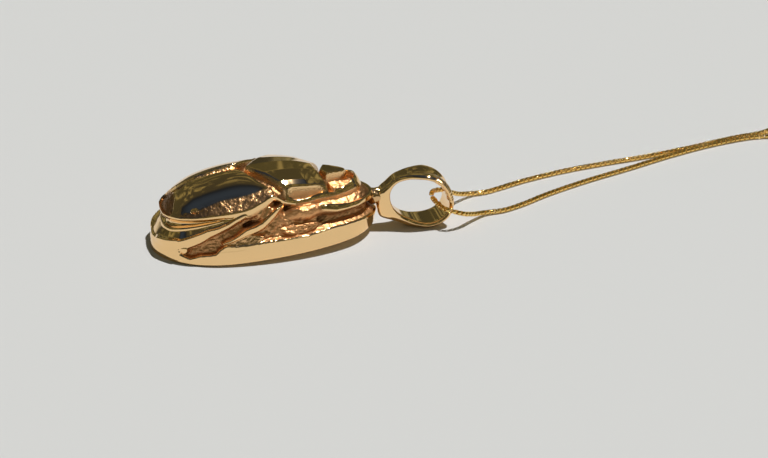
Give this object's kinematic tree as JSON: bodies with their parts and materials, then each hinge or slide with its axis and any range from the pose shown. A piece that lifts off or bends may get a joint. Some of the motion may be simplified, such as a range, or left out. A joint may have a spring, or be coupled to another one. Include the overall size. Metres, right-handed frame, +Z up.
{
  "type": "scarab amulet pendant",
  "caption": "Cast gold scarab amulet lying on its flat back, with a flared bail and a fine box chain run through it.",
  "frame": {"origin": "on the surface the pendant lies on, under the middle of the scarab and its bail, the chain left out", "axes": "+X from the beetle's tail to its head and bail, +Y across the beetle, +Z up from the surface"},
  "size_m": [0.1002, 0.0388, 0.01],
  "materials": {
    "polished_gold": "polished 14 carat gold with matte granulated recesses",
    "chain_gold": "polished yellow gold links"
  },
  "bodies": {
    "root": {"scarab_body": "polished_gold", "bail": "polished_gold", "chain_near_strand": "chain_gold", "chain_far_strand": "chain_gold", "chain_coil": "chain_gold", "clasp_ring": "chain_gold"}
  },
  "joints": []
}
